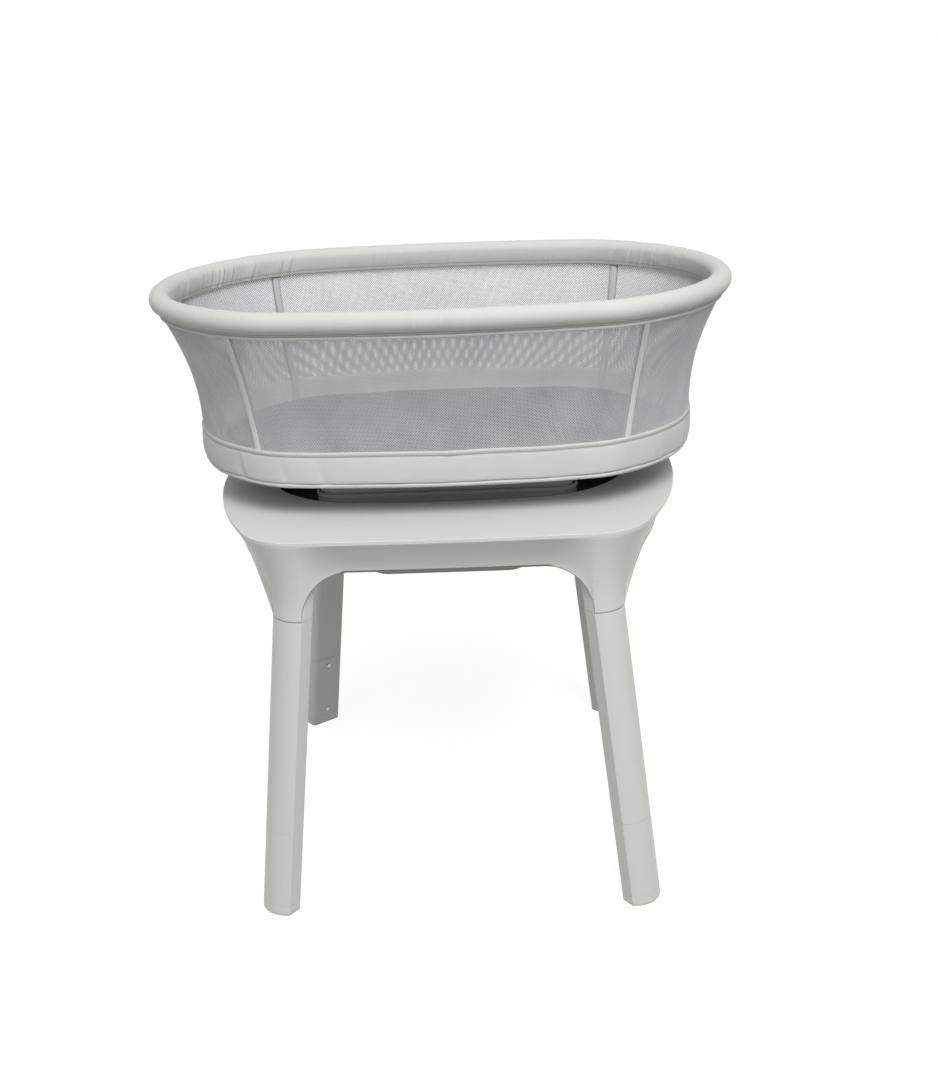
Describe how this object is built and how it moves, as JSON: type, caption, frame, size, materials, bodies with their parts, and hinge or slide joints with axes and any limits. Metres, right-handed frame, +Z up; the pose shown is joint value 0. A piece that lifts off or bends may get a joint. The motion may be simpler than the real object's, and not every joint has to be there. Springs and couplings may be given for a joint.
{
  "type": "bassinet on stand",
  "caption": "Powered bassinet: an oval mesh basket with a padded rim on a lifting, swaying drive block, on a moulded stand with plug-in legs.",
  "frame": {"origin": "on the floor under the middle of the stand", "axes": "+Z up, +X along the basket's length, -Y towards the front, where the rim's and the band's fabric ends meet"},
  "size_m": [0.799, 0.6008, 0.8405],
  "materials": {
    "stand_plastic": "fine matt grain",
    "deck_plastic": "fine matt grain",
    "leg_plastic": "fine matt grain",
    "dark_plastic": "matt",
    "drive_plastic": "matt",
    "button_plastic": "satin",
    "steel": "bright ground",
    "black_steel": "painted",
    "brass": "machined",
    "gear_plastic": "moulded",
    "board": "moulded",
    "circuit_board": "lacquered",
    "rim_fabric": "quilted knit",
    "mesh_fabric": "open knitted mesh",
    "strip_fabric": "twill tape",
    "band_fabric": "woven",
    "mattress_fabric": "knit"
  },
  "bodies": {
    "stand": {"stand_frame": "stand_plastic", "deck_plate": "deck_plastic", "belly_pan": "stand_plastic", "pan_screws": "steel", "front_left_leg": "leg_plastic", "front_right_leg": "leg_plastic", "rear_left_leg": "leg_plastic", "rear_right_leg": "leg_plastic", "front_left_extension": "leg_plastic", "front_right_extension": "leg_plastic", "rear_left_extension": "leg_plastic", "rear_right_extension": "leg_plastic", "front_left_foot_cap": "leg_plastic", "front_right_foot_cap": "leg_plastic", "rear_left_foot_cap": "leg_plastic", "rear_right_foot_cap": "leg_plastic", "leg_bolts": "steel", "chassis_plate": "black_steel", "rod_blocks": "black_steel", "guide_rods": "steel", "sway_rack": "gear_plastic", "control_board": "circuit_board", "power_jack": "dark_plastic", "control_panel": "deck_plastic"},
    "carriage": {"carriage_plate": "black_steel", "drive_cover": "drive_plastic", "guide_posts": "steel", "sway_motor": "black_steel", "lift_motor": "black_steel", "lift_springs": "steel"},
    "sway_gear": {"sway_pinion": "brass"},
    "lift_gear": {"lift_pinion": "brass"},
    "basket": {"support_plate": "black_steel", "lift_rack": "gear_plastic", "lift_skirt": "drive_plastic", "floor_board": "board", "floor_tube": "steel", "rim_tube": "steel", "rim_cover": "rim_fabric", "rim_trim": "strip_fabric", "mesh_front": "mesh_fabric", "mesh_back": "mesh_fabric", "mesh_left": "mesh_fabric", "mesh_right": "mesh_fabric", "seam_strips": "strip_fabric", "upright_stays": "steel", "lower_band": "band_fabric", "band_piping": "band_fabric", "mattress": "mattress_fabric"},
    "front_left_upper_snap": {"front_left_upper_snap": "steel"},
    "front_left_lower_snap": {"front_left_lower_snap": "steel"},
    "front_right_upper_snap": {"front_right_upper_snap": "steel"},
    "front_right_lower_snap": {"front_right_lower_snap": "steel"},
    "rear_left_upper_snap": {"rear_left_upper_snap": "steel"},
    "rear_left_lower_snap": {"rear_left_lower_snap": "steel"},
    "rear_right_upper_snap": {"rear_right_upper_snap": "steel"},
    "rear_right_lower_snap": {"rear_right_lower_snap": "steel"},
    "power_button": {"power_button": "button_plastic"},
    "sway_button": {"sway_button": "button_plastic"},
    "lift_button": {"lift_button": "button_plastic"}
  },
  "joints": [
    {"name": "sway", "type": "slide", "parent": "stand", "child": "carriage", "axis": [1, 0, 0], "range_m": [-0.026, 0.026]},
    {"name": "lift", "type": "slide", "parent": "carriage", "child": "basket", "axis": [0, 0, 1], "range_m": [0, 0.026], "deforming": ["lift_springs"]},
    {"name": "sway_gear_spin", "type": "hinge", "parent": "carriage", "child": "sway_gear", "pos_m": [0, 0.02, 0.52], "axis": [0, 0, 1], "range_deg": [-125, 125]},
    {"name": "lift_gear_spin", "type": "hinge", "parent": "carriage", "child": "lift_gear", "pos_m": [-0.02, -0.04, 0.5722], "axis": [0, -1, 0], "range_deg": [0, 125]},
    {"name": "front_left_upper_snap_press", "type": "slide", "parent": "stand", "child": "front_left_upper_snap", "axis": [-0.6095, -0.7853, 0.1085], "range_m": [0, 0.004], "stiffness_N_per_m": 2500},
    {"name": "front_left_lower_snap_press", "type": "slide", "parent": "stand", "child": "front_left_lower_snap", "axis": [-0.6095, -0.7853, 0.1085], "range_m": [0, 0.004], "stiffness_N_per_m": 2500},
    {"name": "front_right_upper_snap_press", "type": "slide", "parent": "stand", "child": "front_right_upper_snap", "axis": [0.6095, -0.7853, 0.1085], "range_m": [0, 0.004], "stiffness_N_per_m": 2500},
    {"name": "front_right_lower_snap_press", "type": "slide", "parent": "stand", "child": "front_right_lower_snap", "axis": [0.6095, -0.7853, 0.1085], "range_m": [0, 0.004], "stiffness_N_per_m": 2500},
    {"name": "rear_left_upper_snap_press", "type": "slide", "parent": "stand", "child": "rear_left_upper_snap", "axis": [-0.6095, 0.7853, 0.1085], "range_m": [0, 0.004], "stiffness_N_per_m": 2500},
    {"name": "rear_left_lower_snap_press", "type": "slide", "parent": "stand", "child": "rear_left_lower_snap", "axis": [-0.6095, 0.7853, 0.1085], "range_m": [0, 0.004], "stiffness_N_per_m": 2500},
    {"name": "rear_right_upper_snap_press", "type": "slide", "parent": "stand", "child": "rear_right_upper_snap", "axis": [0.6095, 0.7853, 0.1085], "range_m": [0, 0.004], "stiffness_N_per_m": 2500},
    {"name": "rear_right_lower_snap_press", "type": "slide", "parent": "stand", "child": "rear_right_lower_snap", "axis": [0.6095, 0.7853, 0.1085], "range_m": [0, 0.004], "stiffness_N_per_m": 2500},
    {"name": "power_button_press", "type": "slide", "parent": "stand", "child": "power_button", "axis": [0, 0, -1], "range_m": [0, 0.0012], "stiffness_N_per_m": 1500},
    {"name": "sway_button_press", "type": "slide", "parent": "stand", "child": "sway_button", "axis": [0, 0, -1], "range_m": [0, 0.0012], "stiffness_N_per_m": 1500},
    {"name": "lift_button_press", "type": "slide", "parent": "stand", "child": "lift_button", "axis": [0, 0, -1], "range_m": [0, 0.0012], "stiffness_N_per_m": 1500}
  ],
  "couplings": [
    {"joint": "sway_gear_spin", "follows": "sway", "rad_per_m": 83.333},
    {"joint": "lift_gear_spin", "follows": "lift", "rad_per_m": 83.333}
  ]
}
